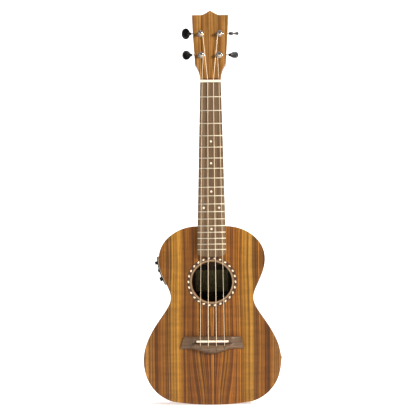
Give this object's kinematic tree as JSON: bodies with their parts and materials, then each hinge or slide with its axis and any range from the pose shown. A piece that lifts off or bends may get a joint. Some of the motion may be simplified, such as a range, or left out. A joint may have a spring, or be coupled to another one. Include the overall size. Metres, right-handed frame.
{
  "type": "electro-acoustic tenor ukulele",
  "caption": "Tenor ukulele with a hollow figure-eight koa body, fretted neck, geared tuners that turn their posts, tied strings and a side preamp.",
  "frame": {"origin": "under the middle of the body's tail, at the bottom centre of the bounding box, with the instrument standing upright", "axes": "+Z from the tail to the headstock, -Y the front where the strings are, +X the treble side"},
  "size_m": [0.2311, 0.0824, 0.6621],
  "materials": {
    "koa": "satin open-pored koa with book-matched figure",
    "mahogany": "raw sawn mahogany",
    "maple": "raw maple",
    "spruce": "raw quartersawn spruce",
    "neck_mahogany": "satin mahogany",
    "walnut": "oiled walnut",
    "bone": "polished synthetic bone",
    "fret_wire": "polished nickel silver",
    "nylon": "translucent string nylon",
    "chrome": "plated, polished",
    "nickel": "nickel plated",
    "button_plastic": "moulded, satin gloss",
    "knob_plastic": "moulded, fine matte",
    "panel_plastic": "moulded, fine matte"
  },
  "bodies": {
    "instrument": {"back_bracing": "spruce", "back_plate": "koa", "bridge": "walnut", "bridge_plate": "maple", "fingerboard": "walnut", "fret_01": "fret_wire", "fret_02": "fret_wire", "fret_03": "fret_wire", "fret_04": "fret_wire", "fret_05": "fret_wire", "fret_06": "fret_wire", "fret_07": "fret_wire", "fret_08": "fret_wire", "fret_09": "fret_wire", "fret_10": "fret_wire", "fret_11": "fret_wire", "fret_12": "fret_wire", "fret_13": "fret_wire", "fret_14": "fret_wire", "fret_15": "fret_wire", "fret_16": "fret_wire", "fret_17": "fret_wire", "fret_18": "fret_wire", "headstock_veneer": "koa", "lining_back": "mahogany", "lining_front": "mahogany", "neck": "neck_mahogany", "neck_block": "mahogany", "nut": "bone", "output_jack": "nickel", "preamp_unit": "panel_plastic", "saddle": "bone", "side_bass": "koa", "side_treble": "koa", "soundboard": "koa", "soundboard_bracing": "spruce", "string_a": "nylon", "string_c": "nylon", "string_e": "nylon", "string_g": "nylon", "tail_block": "mahogany", "tuner_a_bushing": "chrome", "tuner_a_housing": "chrome", "tuner_c_bushing": "chrome", "tuner_c_housing": "chrome", "tuner_e_bushing": "chrome", "tuner_e_housing": "chrome", "tuner_g_bushing": "chrome", "tuner_g_housing": "chrome"},
    "g_post": {"tuner_g_post": "chrome"},
    "g_key": {"tuner_g_key": "button_plastic"},
    "c_post": {"tuner_c_post": "chrome"},
    "c_key": {"tuner_c_key": "button_plastic"},
    "e_post": {"tuner_e_post": "chrome"},
    "e_key": {"tuner_e_key": "button_plastic"},
    "a_post": {"tuner_a_post": "chrome"},
    "a_key": {"tuner_a_key": "button_plastic"},
    "tone_knob": {"preamp_tone_knob": "knob_plastic"},
    "volume_knob": {"preamp_volume_knob": "knob_plastic"},
    "tune_button": {"preamp_tune_button": "knob_plastic"}
  },
  "joints": [
    {"name": "tuner_g_key_turn", "type": "hinge", "parent": "instrument", "child": "g_key", "pos_m": [-0.015, -0.00145, 0.58691], "axis": [-1, 0, 0], "continuous": true},
    {"name": "tuner_g_post_turn", "type": "hinge", "parent": "instrument", "child": "g_post", "pos_m": [-0.015, -0.02021, 0.58478], "axis": [0, -0.9744, 0.225], "continuous": true},
    {"name": "tuner_c_key_turn", "type": "hinge", "parent": "instrument", "child": "c_key", "pos_m": [-0.0159, 0.007, 0.62355], "axis": [-1, 0, 0], "continuous": true},
    {"name": "tuner_c_post_turn", "type": "hinge", "parent": "instrument", "child": "c_post", "pos_m": [-0.0159, -0.01176, 0.62141], "axis": [0, -0.9744, 0.225], "continuous": true},
    {"name": "tuner_e_key_turn", "type": "hinge", "parent": "instrument", "child": "e_key", "pos_m": [0.0159, 0.007, 0.62355], "axis": [1, 0, 0], "continuous": true},
    {"name": "tuner_e_post_turn", "type": "hinge", "parent": "instrument", "child": "e_post", "pos_m": [0.0159, -0.01176, 0.62141], "axis": [0, -0.9744, 0.225], "continuous": true},
    {"name": "tuner_a_key_turn", "type": "hinge", "parent": "instrument", "child": "a_key", "pos_m": [0.015, -0.00145, 0.58691], "axis": [1, 0, 0], "continuous": true},
    {"name": "tuner_a_post_turn", "type": "hinge", "parent": "instrument", "child": "a_post", "pos_m": [0.015, -0.02021, 0.58478], "axis": [0, -0.9744, 0.225], "continuous": true},
    {"name": "tone_knob_turn", "type": "hinge", "parent": "instrument", "child": "tone_knob", "pos_m": [-0.09161, 0.00022, 0.2373], "axis": [-0.9959, 0, -0.0903], "range_deg": [-140, 140]},
    {"name": "volume_knob_turn", "type": "hinge", "parent": "instrument", "child": "volume_knob", "pos_m": [-0.0837, 0.00022, 0.2107], "axis": [-0.9185, 0, -0.3954], "range_deg": [-140, 140]},
    {"name": "tune_button_press", "type": "slide", "parent": "instrument", "child": "tune_button", "axis": [0.9412, 0, 0.3378], "range_m": [0, 0.001], "stiffness_N_per_m": 400, "springref_m": -0.001}
  ],
  "couplings": [
    {"joint": "tuner_g_post_turn", "follows": "tuner_g_key_turn", "ratio": -0.071429},
    {"joint": "tuner_c_post_turn", "follows": "tuner_c_key_turn", "ratio": -0.071429},
    {"joint": "tuner_e_post_turn", "follows": "tuner_e_key_turn", "ratio": 0.071429},
    {"joint": "tuner_a_post_turn", "follows": "tuner_a_key_turn", "ratio": 0.071429}
  ]
}
